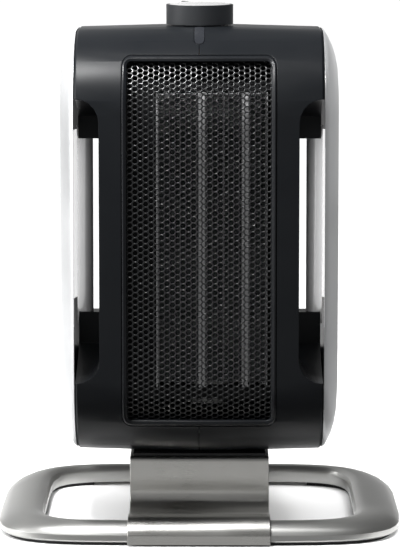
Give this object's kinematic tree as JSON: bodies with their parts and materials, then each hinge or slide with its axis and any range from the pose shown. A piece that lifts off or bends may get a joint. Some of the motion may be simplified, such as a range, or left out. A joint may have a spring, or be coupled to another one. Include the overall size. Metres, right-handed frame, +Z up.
{
  "type": "space heater",
  "caption": "Upright ceramic space heater: black rounded body with a mesh outlet grille, side rails, silver side covers and a top knob, on a strap pedestal and an open ring base.",
  "frame": {"origin": "on the floor under the middle of the whole object's footprint", "axes": "+Z up, +X to the right seen from the front, the outlet grille faces -Y"},
  "size_m": [0.2788, 0.2088, 0.3631],
  "materials": {
    "black_satin_plastic": "satin",
    "silver_paint": "satin silver paint on moulded plastic",
    "polished_steel": "polished",
    "brushed_steel": "brushed",
    "satin_aluminium": "satin",
    "black_rubber": "matte",
    "black_painted_metal": "semi-gloss black",
    "aluminium_fins": "dull",
    "contact_aluminium": "dull",
    "insulator_plastic": "matte",
    "zinc_steel": "zinc plated",
    "clear_lens": "clear gloss",
    "lamp_glass": "clear",
    "filter_mesh": "matte mesh",
    "cap_silver": "satin silver",
    "sintered_bronze": "dull"
  },
  "bodies": {
    "chassis": {"base_ring": "satin_aluminium", "bearing_bush": "sintered_bronze", "contact_bar_1": "contact_aluminium", "contact_bar_2": "contact_aluminium", "cord_gland": "black_rubber", "dust_filter": "filter_mesh", "element_bulkhead": "insulator_plastic", "element_cap_bottom": "insulator_plastic", "element_cap_top": "insulator_plastic", "element_side_left": "contact_aluminium", "element_side_right": "contact_aluminium", "fan_cradle": "insulator_plastic", "fan_motor": "zinc_steel", "fan_upper_deck": "insulator_plastic", "fin_pack_1": "aluminium_fins", "fin_pack_2": "aluminium_fins", "fin_pack_3": "aluminium_fins", "fin_pack_4": "aluminium_fins", "fin_pack_5": "aluminium_fins", "front_grille": "black_painted_metal", "grab_rail_left": "polished_steel", "grab_rail_right": "polished_steel", "grille_bezel": "black_satin_plastic", "half_shell_left": "black_satin_plastic", "half_shell_right": "black_satin_plastic", "indicator_lamp": "lamp_glass", "indicator_lens": "clear_lens", "mount_plate": "zinc_steel", "pad_front": "black_rubber", "pad_rear_left": "black_rubber", "pad_rear_right": "black_rubber", "pedestal_saddle": "black_rubber", "pedestal_screw_1": "zinc_steel", "pedestal_screw_2": "zinc_steel", "pedestal_strap": "brushed_steel", "rear_intake_grille": "black_satin_plastic", "ring_nut_1": "zinc_steel", "ring_nut_2": "zinc_steel", "ring_nut_3": "zinc_steel", "ring_nut_4": "zinc_steel", "rotary_switch": "insulator_plastic", "shell_screw_1": "zinc_steel", "shell_screw_2": "zinc_steel", "shell_screw_3": "zinc_steel", "shell_screw_4": "zinc_steel", "side_cover_left": "silver_paint", "side_cover_right": "silver_paint", "switch_nut": "zinc_steel", "terminal_block": "insulator_plastic", "thermal_cutout": "insulator_plastic", "thermal_fuse": "insulator_plastic", "tip_over_switch": "insulator_plastic"},
    "fan": {"fan_wheel": "black_satin_plastic"},
    "knob": {"control_knob": "black_satin_plastic", "knob_spindle": "zinc_steel", "knob_cap": "cap_silver", "knob_pointer": "black_rubber"}
  },
  "joints": [
    {"name": "fan_spin", "type": "hinge", "parent": "chassis", "child": "fan", "pos_m": [0.008, -0.005, 0.116], "axis": [0, 0, 1], "continuous": true},
    {"name": "knob_turn", "type": "hinge", "parent": "chassis", "child": "knob", "pos_m": [0, 0, 0.3477], "axis": [0, 0, 1], "range_deg": [-270, 0]}
  ]
}
